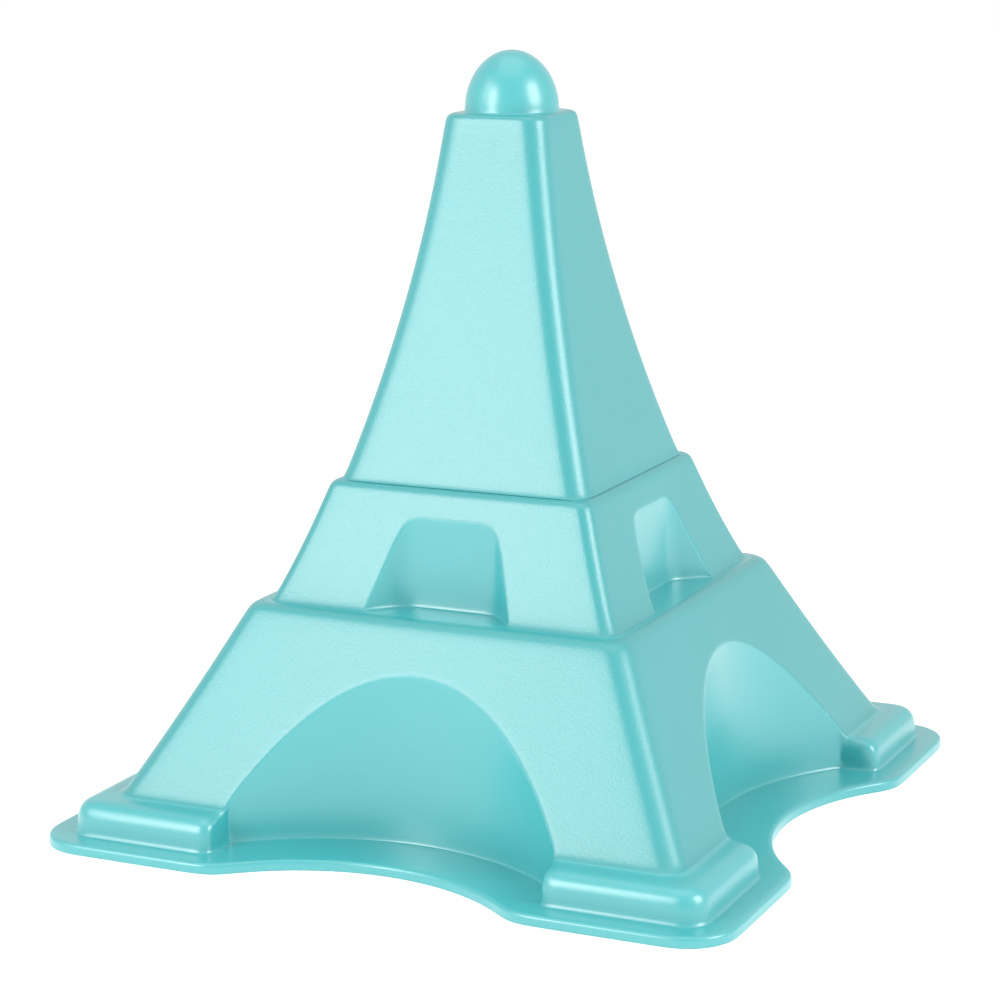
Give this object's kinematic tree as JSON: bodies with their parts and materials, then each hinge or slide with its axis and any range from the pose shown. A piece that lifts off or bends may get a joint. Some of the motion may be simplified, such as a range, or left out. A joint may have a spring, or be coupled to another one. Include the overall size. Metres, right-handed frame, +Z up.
{
  "type": "sand mould",
  "caption": "Beach sand mould shaped like a tapering tower, with arched legs, foot blocks, window recesses and a domed tip, open underneath.",
  "frame": {"origin": "centre of the base, on the flange's underside", "axes": "+Z up along the tower's axis; the four equal sides face -Y (front), +X (right), +Y and -X"},
  "size_m": [0.2, 0.2, 0.211],
  "materials": {
    "turquoise_shell": "fine satin grain, turquoise moulded plastic",
    "polished_dome": "the same turquoise plastic, smoother on the dome"
  },
  "bodies": {
    "root": {"base_flange": "turquoise_shell", "foot_block_front_left": "turquoise_shell", "foot_block_front_right": "turquoise_shell", "foot_block_back_left": "turquoise_shell", "foot_block_back_right": "turquoise_shell", "lower_tier": "turquoise_shell", "middle_tier": "turquoise_shell", "spire": "turquoise_shell", "finial_dome": "polished_dome"}
  },
  "joints": []
}
